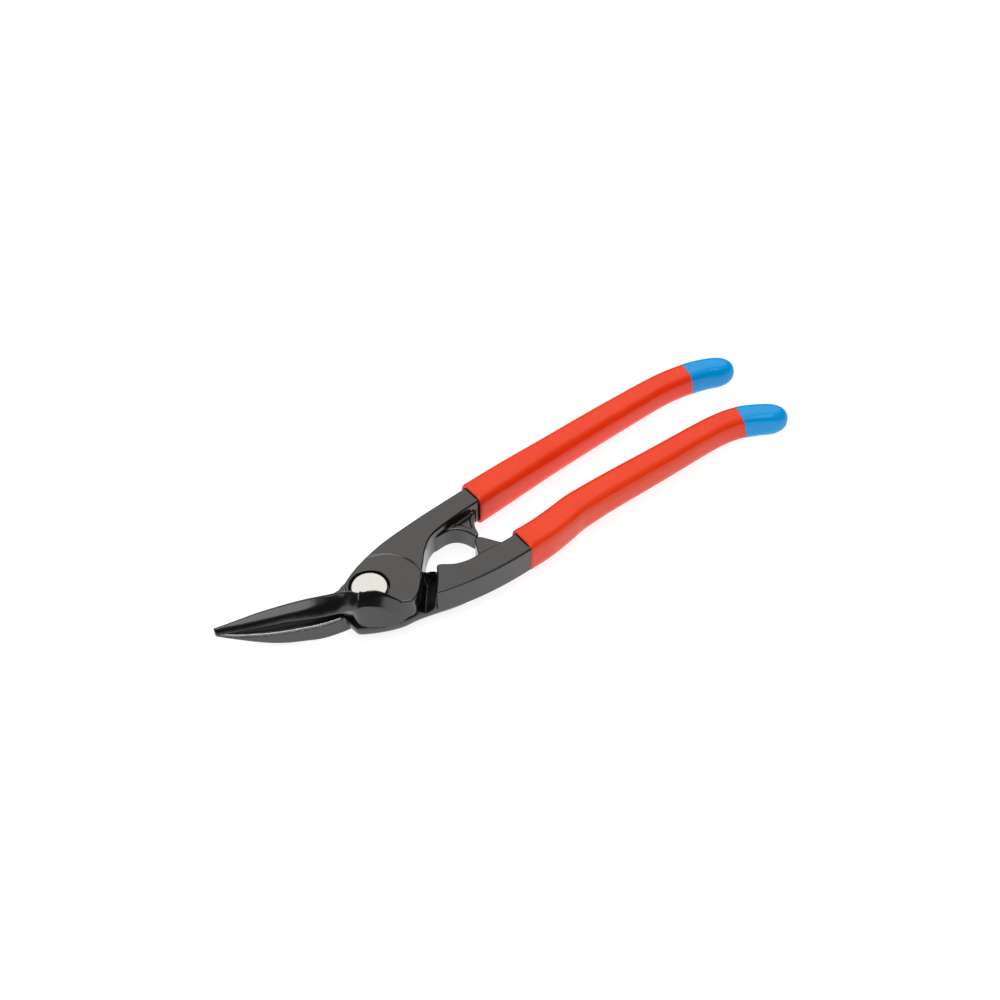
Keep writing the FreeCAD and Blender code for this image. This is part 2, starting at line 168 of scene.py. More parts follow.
def sd_poly(x, y, pts):
    pts = [np.asarray(p, float) for p in pts]
    n = len(pts)
    shp = np.broadcast(x, y).shape
    d = np.full(shp, 1e12)
    s = np.ones(shp)
    j = n - 1
    for i in range(n):
        vi, vj = pts[i], pts[j]
        ex, ey = vj - vi
        wx, wy = x - vi[0], y - vi[1]
        t = np.clip((wx * ex + wy * ey) / (ex * ex + ey * ey), 0, 1)
        bx, by = wx - ex * t, wy - ey * t
        d = np.minimum(d, bx * bx + by * by)
        c1 = y >= vi[1]
        c2 = y < vj[1]
        c3 = ex * wy > ey * wx
        flip = (c1 & c2 & c3) | (~c1 & ~c2 & ~c3)
        s = np.where(flip, -s, s)
        j = i
    return s * np.sqrt(d)


def smooth_closed(pts, n_iter=2, keep=()):
    """Corner cutting of a closed outline; corners whose index is in keep stay sharp."""
    P = [tuple(p) + (i in keep,) for i, p in enumerate(pts)]
    for _ in range(n_iter):
        out = []
        n = len(P)
        for i in range(n):
            a, b, c = P[i - 1], P[i], P[(i + 1) % n]
            if b[2]:
                out.append(b)
            else:
                out.append((b[0] * 0.75 + a[0] * 0.25, b[1] * 0.75 + a[1] * 0.25, False))
                out.append((b[0] * 0.75 + c[0] * 0.25, b[1] * 0.75 + c[1] * 0.25, False))
        P = out
    return [(p[0], p[1]) for p in P]


def rmax(a, b, r):
    return np.minimum(-r, np.maximum(a, b)) + np.sqrt(np.maximum(r + a, 0) ** 2 + np.maximum(r + b, 0) ** 2)


def rmin(a, b, r):
    return -rmax(-a, -b, r)


def cmax(a, b, c):
    """Intersection with a flat chamfer of leg c whose two edges are slightly rounded."""
    ch = (a + b + c) * math.sqrt(0.5)
    return rmax(rmax(a, ch, 0.35), rmax(b, ch, 0.35), 0.05)


def sstep(a, b, x):
    t = np.clip((x - a) / (b - a), 0, 1)
    return t * t * (3 - 2 * t)


GAP = 0.04
FAR_U = [(-7.9, 5.6), (-5.4, 7.5), (-3.0, 9.1), (-0.6, 10.5), (1.6, 11.7), (4.1, 12.6), (7.8, 14.1), (12.0, 15.7),
         (16.0, 16.9), (22.0, 18.4), (27.9, 19.7), (33.7, 21.0), (39.6, 22.1), (45.5, 23.2), (52.0, 24.4), (62.0, 26.2)]
NEAR_U = [(62.0, 17.2), (53.0, 15.7), (49.5, 15.1), (44.6, 14.0), (39.7, 12.8), (34.8, 11.4), (32.2, 10.4), (30.2, 9.2),
          (28.6, 7.8), (27.2, 6.2), (25.6, 4.5), (23.2, 0.8), (20.4, -3.1)]
BOSS_EDGE = [(19.5, -4.3), (18.4, -6.4), (16.6, -9.1), (14.8, -11.3), (12.7, -13.0), (10.8, -13.9)]
FIN_F = [(8.8, -13.0), (5.8, -12.3), (3.0, -11.3), (-0.2, -9.8), (-3.1, -8.0), (-5.9, -5.8), (-7.6, -3.6), (-8.5, -1.2), (-8.9, 2.0)]
HORN_U = [(32.5, 13.0), (33.2, 10.9), (35.5, 11.2), (39.3, 11.7), (42.4, 10.9), (44.8, 8.8), (46.2, 6.2), (47.0, 4.4), (48.1, 3.75),
          (49.1, 4.6), (49.4, 8.1), (50.2, 10.8), (52.6, 13.6), (54.0, 17.5), (45.0, 17.0), (36.0, 15.0)]
CLEAR = [(9.4, 14.6), (12.5, 8.1), (18.2, 7.0), (25.9, 5.6), (24.0, -3.0), (10.0, -20.0), (-20.0, -20.0), (-20.0, 20.0), (3.0, 20.0)]

# blade and fin sections: foot x, y, z foot, foot offset at the shear plane, ridge inset, z ridge,
# crest insets near and far, z crest, foot inset far
ST = np.array([
    (12.6, -13.6, 0.1, 0.0, 0.2, 8.6, 0.5, 1.3, 4.6, 2.2),
    (10.8, -13.8, 0.7, -0.1, 0.3, 9.0, 0.6, 1.4, 5.9, 2.3),
    (8.0, -13.7, 2.9, -0.6, 0.9, 9.2, 1.2, 2.1, 8.4, 2.8),
    (5.0, -13.4, 5.6, -1.0, 1.5, 11.2, 1.8, 2.7, 11.4, 3.3),
    (2.0, -12.8, 8.3, -1.1, 2.1, 13.4, 2.7, 3.4, 13.9, 3.9),
    (-1.6, -11.5, 10.9, -1.0, 2.7, 15.6, 3.2, 3.7, 16.3, 4.4),
    (-4.9, -10.2, 12.1, -0.8, 3.1, 16.6, 3.6, 3.9, 17.3, 4.7),
    (-6.9, -9.0, 11.5, -0.7, 3.2, 16.1, 3.7, 4.1, 16.8, 5.0),
    (-8.6, -8.0, 10.5, -0.2, 3.3, 15.2, 4.0, 4.5, 15.9, 5.7),
    (-9.9, -6.7, 9.3, 1.0, 3.3, 14.1, 4.2, 5.0, 14.9, 6.6),
    (-11.1, -5.4, 8.1, 2.4, 3.2, 13.0, 4.4, 5.4, 13.8, 7.6),
    (-14.0, -2.3, 4.9, 3.0, 3.0, 9.9, 4.6, 5.7, 10.8, 8.2),
    (-16.7, -0.3, 3.1, 2.4, 2.7, 7.9, 4.6, 5.7, 9.0, 7.4),
    (-19.7, 1.6, 1.5, 1.3, 2.1, 6.7, 4.3, 5.4, 7.9, 6.5),
    (-24.8, 4.15, 0.3, 0.3, 0.9, 4.9, 3.3, 4.5, 7.3, 5.2),
    (-31.0, 6.45, GAP, 0.001, 0.6, 3.6, 2.9, 4.0, 6.5, 4.6),
    (-36.6, 8.2, GAP, 0.001, 0.5, 3.1, 2.6, 3.6, 5.9, 4.2),
    (-42.3, 9.9, GAP, 0.001, 0.4, 2.8, 2.2, 3.1, 5.3, 3.7),
    (-48.0, 11.6, GAP, 0.001, 0.3, 2.6, 1.7, 2.5, 4.4, 3.1),
    (-52.2, 12.9, GAP, 0.001, 0.25, 2.6, 1.3, 2.0, 3.8, 2.6),
    (-56.4, 14.5, GAP, 0.001, 0.2, 2.1, 0.8, 1.4, 3.0, 1.9),
], float)
flat_ = np.interp(ST[:, 0], [-56.4, -48.0, -19.7, -14.0, -11.1], [0.25, 0.7, 1.0, 0.7, 0.0])
ST[:, 6] += 0.8 * flat_
ST[:, 7] += 0.5 * flat_
ST[:, 8] -= 0.55 * flat_
ST[:, 9] += 0.4 * flat_
# near side in three facets: a steep strip along the foot, the flank and the bevel
f_x = ST[:, 0]
u_w = 0.66 * (ST[:, 5] - ST[:, 2]) + 0.751 * ST[:, 4]
u_b = 0.66 * (ST[:, 8] - ST[:, 5]) + 0.751 * (ST[:, 6] - ST[:, 4])
u_s = np.minimum(0.9 * u_w, np.interp(f_x, [-56.4, -36.6, -31.0, -24.8, -19.7, -16.7, -14.0, -11.1, -8.6, -4.9, -1.6],
                                      [9.0, 9.0, 2.5, 2.2, 1.7, 1.45, 1.3, 1.15, 0.9, 0.6, 0.5]))
s_s = np.interp(f_x, [-11.1, -6.9, -4.9], [2.6, 2.2, 1.9])
s_w = np.interp(f_x, [-24.8, -14.0, -8.6, -4.9, -1.6], [1.25, 1.12, 1.15, 1.35, 1.6])
s_b = np.interp(f_x, [-11.1, -6.9, -1.6], [0.7, 0.9, 1.2])
d_s = u_s / (0.66 * s_s + 0.751)
d_w = (u_w - u_s) / (0.66 * s_w + 0.751)
d_b = u_b / (0.66 * s_b + 0.751)
m_ = f_x < 0.0
strip_d = np.where(m_, d_s, 0.3 * ST[:, 4])
strip_z = np.where(m_, ST[:, 2] + s_s * d_s, ST[:, 2] + 0.3 * (ST[:, 5] - ST[:, 2]))
n_rb = np.where(m_, d_s + d_w, ST[:, 4])
n_zr = np.where(m_, ST[:, 2] + s_s * d_s + s_w * d_w, ST[:, 5])
n_c0 = np.where(m_, n_rb + d_b, ST[:, 6])
n_zc = np.where(m_, n_zr + s_b * d_b, ST[:, 8])
ST[:, 7] += n_c0 - ST[:, 6]
ST[:, 9] = np.maximum(ST[:, 9], ST[:, 7] + 0.6)
ST[:, 4], ST[:, 5], ST[:, 6], ST[:, 8] = n_rb, n_zr, n_c0, n_zc
ST = np.column_stack([ST, strip_d, strip_z])
# lower blade: edge x, y, depth, width at the top, width at the bottom
BL = np.array([
    (-6.0, -1.7, 8.7, 13.0, 10.6),
    (-12.6, -1.6, 8.7, 12.4, 10.2),
    (-18.2, -1.0, 8.7, 11.2, 8.8),
    (-22.5, -0.2, 8.4, 10.4, 8.0),
    (-27.0, 1.1, 7.8, 9.6, 7.2),
    (-32.6, 2.8, 7.1, 8.6, 6.2),
    (-38.1, 4.8, 6.0, 7.6, 5.4),
    (-43.5, 7.2, 4.5, 6.2, 4.4),
    (-48.7, 9.8, 2.8, 4.6, 3.2),
    (-52.3, 12.0, 2.0, 3.5, 2.4),
    (-56.4, 14.8, 1.2, 2.2, 1.5),
], float)


def dense(tab, n):
    """Smooth (Catmull-Rom) table through the rows."""
    out = []
    m = len(tab)
    for i in range(m - 1):
        p0, p1, p2, p3 = tab[max(i - 1, 0)], tab[i], tab[i + 1], tab[min(i + 2, m - 1)]
        for k in range(n):
            t = k / n
            out.append(0.5 * (2 * p1 + (p2 - p0) * t + (2 * p0 - 5 * p1 + 4 * p2 - p3) * t * t + (3 * p1 - p0 - 3 * p2 + p3) * t ** 3))
    out.append(tab[-1])
    return np.array(out)


def curve_field(x, y, tab, side):
    """For each plan point: distance off the curve (positive on the far side) and the row of the table at the nearest point."""
    shp = np.broadcast(x, y).shape
    best = np.full(shp, 1e12)
    d = np.zeros(shp)
    vals = [np.zeros(shp) for _ in range(tab.shape[1] - 2)]
    over = np.zeros(shp)
    m = len(tab)
    for i in range(m - 1):
        ax, ay = tab[i, 0], tab[i, 1]
        ex, ey = tab[i + 1, 0] - ax, tab[i + 1, 1] - ay
        L2 = ex * ex + ey * ey
        wx, wy = x - ax, y - ay
        tr = (wx * ex + wy * ey) / L2
        t = np.clip(tr, 0, 1)
        bx, by = wx - ex * t, wy - ey * t
        q = bx * bx + by * by
        better = q < best
        best = np.where(better, q, best)
        sg = np.where(ex * wy - ey * wx > 0, -1.0, 1.0) * side
        d = np.where(better, sg * np.sqrt(q), d)
        for c in range(len(vals)):
            vals[c] = np.where(better, tab[i, c + 2] * (1 - t) + tab[i + 1, c + 2] * t, vals[c])
        o = np.zeros(shp)
        L = math.sqrt(L2)
        if i == 0:
            o = np.where(tr < 0, -tr * L, o)
        if i == m - 2:
            o = np.where(tr > 1, (tr - 1) * L, o)
        over = np.where(better, o, over)
    return d, vals, over


ST_D = dense(ST, 6)
ST_D[:, 2] = np.maximum(ST_D[:, 2], GAP + 1e-4)
ST_D[:, 3] = np.where(ST_D[:, 2] < GAP + 0.01, 0.001, ST_D[:, 3])
BL_D = dense(BL, 6)


def half_plane(d, z, d0, z0, d1, z1):
    """Signed distance to the line through (d0,z0)-(d1,z1); positive to the right of the direction."""
    ux, uz = d1 - d0, z1 - z0
    L = np.sqrt(ux * ux + uz * uz) + 1e-9
    return ((z - z0) * ux - (d - d0) * uz) / L


def upper_field(x, y, z):
    # body: boss and shank
    plan = sd_poly(x, y, smooth_closed(FAR_U + NEAR_U + BOSS_EDGE + FIN_F, 2, keep=(15, 16)))
    rr = np.hypot(x - 4.9, y + 2.5)
    ztop = 9.5 + 0.42 * sstep(14.5, 15.35, rr)
    top = z - ztop
    body = rmax(plan, top, 0.85)
    # below the shear plane only outside the lower head
    clear = sd_poly(x, y, smooth_closed(CLEAR, 1))
    low = rmax(plan, -3.2 - z, 2.0)
    body = np.maximum(body, low)
    cut = rmax(clear, z - GAP, 0.05)
    body = rmax(body, -cut, 0.35)
    # horn
    horn2d = sd_poly(x, y, smooth_closed(HORN_U, 2, keep=(13, 14, 15, 0)))
    horn = rmax(rmax(horn2d, z - 6.2, 0.65), -2.6 - z, 0.8)
    # sunk panel on top of the horn, leaving a raised rim on two sides
    panel = sd_poly(x, y, smooth_closed([(42.6, 13.7), (45.6, 11.2), (48.1, 7.6), (48.6, 10.6), (50.2, 13.6), (52.4, 16.4), (47.0, 15.2)], 1))
    panel = rmax(panel, 5.6 - z, 0.1)
    horn = rmax(horn, -panel, 0.35)
    body = rmin(body, horn, 1.0)
    # fin and blade
    d, (zf, so, rb, zr, c0, c1, zc, wf, sd, sz), over = curve_field(x, y, ST_D, 1.0)
    skirt = half_plane(d, z, so, GAP, 0.0, zf)
    strip = half_plane(d, z, 0.0, zf, sd, sz)
    wall = half_plane(d, z, sd, sz, rb, zr)
    bev = half_plane(d, z, rb, zr, c0, zc)
    land = z - zc
    far = half_plane(d, z, c1, zc, wf, zf)
    b = rmax(wall, bev, 0.22)
    b = rmax(b, strip, 0.7)
    b = rmax(b, land, 0.18)
    b = rmax(b, far, 0.3)
    b = rmax(b, skirt, 0.15)
    b = rmax(b, GAP - z, 0.1)
    b = rmax(b, x - 12.6, 0.35)
    b = rmax(b, -(x + 56.2), 0.4)
    body = rmin(body, b, 0.5)
    # openings for the bolt
    r = np.hypot(x, y)
    rec = np.maximum(r - 7.65, 6.05 - z)
    body = rmax(body, -rec, 0.22)
    body = np.maximum(body, 4.56 - r)
    body = np.maximum(body, x - 57.6)
    return body


FAR_L = [(64.0, -4.0), (58.0, -5.3), (53.5, -5.9), (47.6, -6.2), (43.0, -6.6), (39.2, -7.2), (35.9, -7.0), (32.6, -6.3), (30.0, -4.9), (27.7, -3.6), (26.3, -3.6)]
SHOULDER = [(25.4, -5.8), (23.4, -9.6), (21.2, -13.0), (19.9, -15.2)]
NEAR_L = [(22.3, -15.7), (25.4, -16.1), (30.2, -16.5), (35.5, -16.8), (40.7, -16.8), (46.3, -16.6), (53.1, -16.0), (58.5, -15.3), (66.0, -14.2), (66.0, -4.0)]
NEAR_HEAD = [(35.6, -16.5), (25.4, -15.9), (20.3, -15.1), (15.3, -14.5), (11.7, -14.3), (8.4, -14.5), (5.2, -14.3), (1.4, -13.5),
             (-2.2, -12.4), (-5.8, -11.1), (-9.3, -9.5), (-10.2, -8.4)]
HORN_L = [(43.0, -9.5), (43.8, -4.6), (45.1, -0.4), (45.9, 2.0), (46.9, 3.25), (48.5, 3.3), (50.7, 1.0), (52.7, -1.5), (55.4, -4.4), (57.5, -9.5)]


def arc_pts(r, a0, a1, n):
    return [(r * math.cos(math.radians(a0 + (a1 - a0) * i / n)), r * math.sin(math.radians(a0 + (a1 - a0) * i / n))) for i in range(n + 1)]


HEAD_PLAN = [(26.8, 2.2), (25.6, 2.7), (24.4, 3.5), (22.8, 3.7), (18.0, 4.1)] + arc_pts(13.8, 19.0, 172.0, 30) + \
            [(-12.9, -1.5), (-11.7, -1.8), (-11.4, -2.9), (-11.3, -4.3), (-10.9, -5.8), (-10.5, -7.2)] + NEAR_HEAD[::-1] + [(34.0, -6.8), (30.0, -1.6)]


GR = ((17.0, -11.2), (23.9, 0.0))


def lower_field(x, y, z):
    sh = sd_poly(x, y, smooth_closed(FAR_L + SHOULDER + NEAR_L, 2))
    shank = rmax(sh, z - 9.9, 0.9)
    shank = rmax(shank, -3.2 - z, 1.3)
    hp = sd_poly(x, y, smooth_closed(HEAD_PLAN, 1))
    head = rmax(hp, z + GAP, 0.28)
    zb = np.maximum(-3.3 - 1.15 * np.clip(-hp, 0, 20), np.maximum(-8.8, -8.8 + (x - 13.0) * 0.28))
    head = rmax(head, (zb - z) * 0.72, 0.8)
    body = np.minimum(shank, head)
    # V groove between the boss and the shoulder
    gx, gy = GR[1][0] - GR[0][0], GR[1][1] - GR[0][1]
    gt = np.clip(((x - GR[0][0]) * gx + (y - GR[0][1]) * gy) / (gx * gx + gy * gy), 0, 1)
    q = np.hypot(x - GR[0][0] - gt * gx, y - GR[0][1] - gt * gy)
    groove = np.maximum((1.5 * q - 5.6 - z) * 0.552, z - 0.3)
    groove = np.maximum(groove, -(sh - 0.05))
    body = rmax(body, -groove, 0.3)
    horn2d = sd_poly(x, y, smooth_closed(HORN_L, 2, keep=(0, 9)))
    horn = rmax(rmax(horn2d, z - 6.2, 0.6), -2.6 - z, 0.8)
    body = rmin(body, horn, 0.6)
    # blade
    d, (dep, w0, w1), over = curve_field(x, y, BL_D, 1.0)
    near = -d
    top = z + GAP + np.clip(0.28 * (d - 0.9), 0, 1.3) * sstep(-10.5, -14.5, x)
    belly = -dep - z
    far = half_plane(d, z, w0, 0.0 * dep, w1, -dep)
    b = rmax(near, belly, 0.8)
    b = rmax(b, far, 0.6)
    land = (near + z + GAP + 0.8) * math.sqrt(0.5)
    b = rmax(rmax(b, top, 0.08), land, 0.08)
    b = rmax(b, -(x + 56.2), 0.4)
    b = np.maximum(b, x + 6.0)
    body = np.minimum(body, b)
    r = np.hypot(x, y)
    body = np.maximum(body, np.minimum(4.55 - r, 0 * r + 9) + 0.0 * z)
    rec = rmax(r - 7.2, z + 4.2, 0.1)
    body = rmax(body, -rec, 0.25)
    body = np.maximum(body, x - 62.6)
    return body


def build(name, f, lo, hi, h, decimate=0.5):
    xs = np.arange(lo[0], hi[0] + h, h)
    ys = np.arange(lo[1], hi[1] + h, h)
    zs = np.arange(lo[2], hi[2] + h, h)
    F = np.empty((len(xs), len(ys), len(zs)), np.float32)
    CH = 24
    for a in range(0, len(xs), CH):
        F[a:a + CH] = f(xs[a:a + CH, None, None], ys[None, :, None], zs[None, None, :])
    V, Q = grid_mesh(F, (xs[0], ys[0], zs[0]), h)
    out = np.empty_like(V)
    for a in range(0, len(V), 20000):
        out[a:a + 20000] = newton(f, V[a:a + 20000], h)
    me = bpy.data.meshes.new(name)
    W = to_row(out)
    me.vertices.add(len(W))
    me.vertices.foreach_set("co", W.astype(np.float32).ravel())
    me.loops.add(Q.size)
    me.loops.foreach_set("vertex_index", Q.astype(np.int32).ravel())
    me.polygons.add(len(Q))
    me.polygons.foreach_set("loop_start", np.arange(0, Q.size, 4, dtype=np.int32))
    me.update(calc_edges=True)
    me.validate()
    me.shade_smooth()
    o = bpy.data.objects.new(name, me)
    scene.collection.objects.link(o)
    print(name, "verts", len(V), "quads", len(Q))
    return o


H = 0.3
upper = build("upper_forging", upper_field, (-57.6, -16.5, -4.2), (59.0, 28.4, 19.2), H)
lower = build("lower_forging", lower_field, (-57.6, -18.2, -9.8), (64.0, 20.2, 11.2), H)
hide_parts("upper_blade_half")
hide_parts("lower_blade_half")
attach(upper, "upper_half")
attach(lower, "lower_half")


# ------------------------------------------------------------------ materials
def nodes_of(name):
    m = bpy.data.materials.new(name)
    m.use_nodes = True
    nt = m.node_tree
    nt.nodes.clear()
    out = nt.nodes.new("ShaderNodeOutputMaterial")
    bs = nt.nodes.new("ShaderNodeBsdfPrincipled")
    nt.links.new(bs.outputs[0], out.inputs[0])
    return m, nt, bs


def coords(nt):
    return nt.nodes.new("ShaderNodeTexCoord").outputs["Object"]


def noise(nt, co, scale, detail=4.0, rough=0.5):
    n = nt.nodes.new("ShaderNodeTexNoise")
    n.inputs["Scale"].default_value = scale
    n.inputs["Detail"].default_value = detail
    n.inputs["Roughness"].default_value = rough
    nt.links.new(co, n.inputs["Vector"])
    return n.outputs["Fac"]


def ramp(nt, fac, stops):
    r = nt.nodes.new("ShaderNodeValToRGB")
    nt.links.new(fac, r.inputs[0])
    el = r.color_ramp.elements
    while len(el) < len(stops):
        el.new(0.5)
    for e, (p, c) in zip(el, stops):
        e.position = p
        e.color = c if len(c) == 4 else (*c, 1.0)
    return r.outputs[0]


def bump(nt, height, strength, dist, normal=None):
    b = nt.nodes.new("ShaderNodeBump")
    b.inputs["Strength"].default_value = strength
    b.inputs["Distance"].default_value = dist
    nt.links.new(height, b.inputs["Height"])
    if normal is not None:
        nt.links.new(normal, b.inputs["Normal"])
    return b.outputs[0]


def black_steel():
    m, nt, bs = nodes_of("black_forged_steel")
    co = coords(nt)
    fine = noise(nt, co, 2600.0, 3.0, 0.6)
    mid = noise(nt, co, 420.0, 4.0, 0.55)
    big = noise(nt, co, 60.0, 3.0, 0.5)
    c1 = ramp(nt, fine, [(0.30, (0.0055, 0.005, 0.005)), (0.70, (0.0095, 0.009, 0.009))])
    mix = nt.nodes.new("ShaderNodeMix")
    mix.data_type = "RGBA"
    mix.blend_type = "MULTIPLY"
    mix.inputs[0].default_value = 0.35
    nt.links.new(c1, mix.inputs[6])
    nt.links.new(ramp(nt, big, [(0.3, (0.75, 0.75, 0.76)), (0.7, (1.0, 1.0, 1.0))]), mix.inputs[7])
    nt.links.new(mix.outputs[2], bs.inputs["Base Color"])
    r = ramp(nt, mid, [(0.3, (0.15, 0.15, 0.15)), (0.7, (0.21, 0.21, 0.21))])
    nt.links.new(r, bs.inputs["Roughness"])
    b1 = bump(nt, fine, 0.10, 0.0001)
    b2 = bump(nt, mid, 0.10, 0.0003, b1)
    nt.links.new(b2, bs.inputs["Normal"])
    bs.inputs["IOR"].default_value = 1.72
    return m


steel = black_steel()
for o in (upper, lower):
    o.data.materials.clear()
    o.data.materials.append(steel)

def ground_steel():
    m, nt, bs = nodes_of("ground_steel")
    co = coords(nt)
    bs.inputs["Metallic"].default_value = 1.0
    mp = nt.nodes.new("ShaderNodeMapping")
    mp.inputs["Scale"].default_value = (1.0, 0.12, 1.0)
    mp.inputs["Rotation"].default_value = (0.0, 0.0, 0.35)
    nt.links.new(co, mp.inputs["Vector"])
    n1 = noise(nt, mp.outputs[0], 5200.0, 3.0, 0.6)
    nt.links.new(ramp(nt, n1, [(0.3, (0.46, 0.44, 0.42)), (0.7, (0.60, 0.58, 0.55))]), bs.inputs["Base Color"])
    nt.links.new(ramp(nt, n1, [(0.3, (0.28, 0.28, 0.28)), (0.7, (0.38, 0.38, 0.38))]), bs.inputs["Roughness"])
    nt.links.new(bump(nt, n1, 0.15, 0.0001), bs.inputs["Normal"])
    return m


# the ground land along the lower cutting edge
lower.data.materials.append(ground_steel())
V_ = np.empty(len(lower.data.vertices) * 3, np.float32)
lower.data.vertices.foreach_get("co", V_)
V_ = (V_.reshape(-1, 3) - np.array([OX, OY, OZ])) * 1000.0
d_, _, _ = curve_field(V_[:, 0], V_[:, 1], BL_D, 1.0)
on = (np.abs(-d_ + V_[:, 2] + GAP + 0.8) < 0.10) & (V_[:, 2] > -0.86) & (d_ < 0.86) & (V_[:, 0] < -11.2)
mi = np.zeros(len(lower.data.polygons), np.int32)
lv = np.empty(len(lower.data.loops), np.int32)
lower.data.loops.foreach_get("vertex_index", lv)
cnt_ = on[lv.reshape(-1, 4)].sum(1)
mi[cnt_ >= 3] = 1
lower.data.polygons.foreach_set("material_index", mi)
print("ground faces", int((cnt_ >= 3).sum()))

def mesh_object(name, W, faces):
    me = bpy.data.meshes.new(name)
    me.from_pydata([tuple(p) for p in to_row(W)], [], faces)
    me.validate()
    me.update()
    me.shade_smooth()
    o = bpy.data.objects.new(name, me)
    scene.collection.objects.link(o)
    return o


def rings_mesh(name, rings, cap_start, cap_end):
    """Skin over closed rings of equal length."""
    n = len(rings[0])
    W = [p for r in rings for p in r]
    F = []
    for i in range(len(rings) - 1):
        for k in range(n):
            k2 = (k + 1) % n
            F.append((i * n + k, i * n + k2, (i + 1) * n + k2, (i + 1) * n + k))
    if cap_start:
        W.append(np.mean(rings[0], axis=0))
        F += [(len(W) - 1, (k + 1) % n, k) for k in range(n)]
    if cap_end:
        m = (len(rings) - 1) * n
        W.append(np.mean(rings[-1], axis=0))
        F += [(m + k, m + (k + 1) % n, len(W) - 1) for k in range(n)]
    return mesh_object(name, np.array(W), F)


# ------------------------------------------------------------------ dipped handle sleeves and tips
LINE_U = [(46.0, 19.3), (52.5, 20.5), (59.3, 21.7), (71.5, 24.0), (83.9, 26.2), (96.4, 28.3), (109.2, 30.4),
          (122.0, 32.4), (135.1, 34.3), (148.3, 36.1), (157.0, 36.9), (165.0, 36.9), (172.7, 36.1),
          (178.4, 34.8), (183.6, 32.9), (188.3, 30.7)]
LINE_L = [(46.0, -11.3), (52.0, -10.6), (58.0, -9.5), (68.0, -8.1), (75.2, -6.5), (81.8, -4.7), (88.4, -2.9),
          (100.8, -1.0), (112.9, 0.4), (125.3, 1.7), (137.7, 3.1), (150.6, 4.6), (159.0, 5.4),
          (166.5, 5.5), (173.0, 4.6), (180.0, 2.2), (186.2, -0.9), (190.9, -3.4)]
ZC = 3.4


class Track:
    def __init__(self, line):
        self.p = dense(np.array(line, float), 24)
        self.s = np.r_[0.0, np.cumsum(np.hypot(*np.diff(self.p, axis=0).T))]
        self.L = self.s[-1]
        g = np.gradient(self.p, self.s, axis=0)
        k = np.hanning(25)
        k /= k.sum()
        gp = np.pad(g, ((12, 12), (0, 0)), mode="edge")
        g = np.stack([np.convolve(gp[:, q], k, mode="valid") for q in range(2)], 1)
        self.t = g / np.linalg.norm(g, axis=1)[:, None]

    def at(self, d):
        return (np.array([np.interp(d, self.s, self.p[:, q]) for q in range(2)]),
                np.array([np.interp(d, self.s, self.t[:, q]) for q in range(2)]))

    def at_x(self, x):
        return float(np.interp(x, self.p[:, 0], self.s))


NA = 80


def outline(w, h, n):
    """Rounded rectangle (superellipse) as (across, up) pairs."""
    th = np.linspace(0, 2 * math.pi, NA, endpoint=False)
    c, s_ = np.cos(th), np.sin(th)
    r = (np.abs(c) ** n + np.abs(s_) ** n) ** (-1.0 / n)
    return np.c_[0.5 * w * r * c, 0.5 * h * r * s_]


def ring_at(tr, d, w, h, n=3.3, shear=0.0, base=0.0):
    """Closed ring across the handle; shear pushes the lower side further along it."""
    o = outline(w, h, n)
    out = []
    for a, b in o:
        dd = d + base + shear * (0.5 - b / h)
        dd = min(dd, tr.L)
        p, t = tr.at(dd)
        t = t / np.linalg.norm(t)
        out.append((p[0] - t[1] * a, p[1] + t[0] * a, ZC + b))
    return np.array(out)


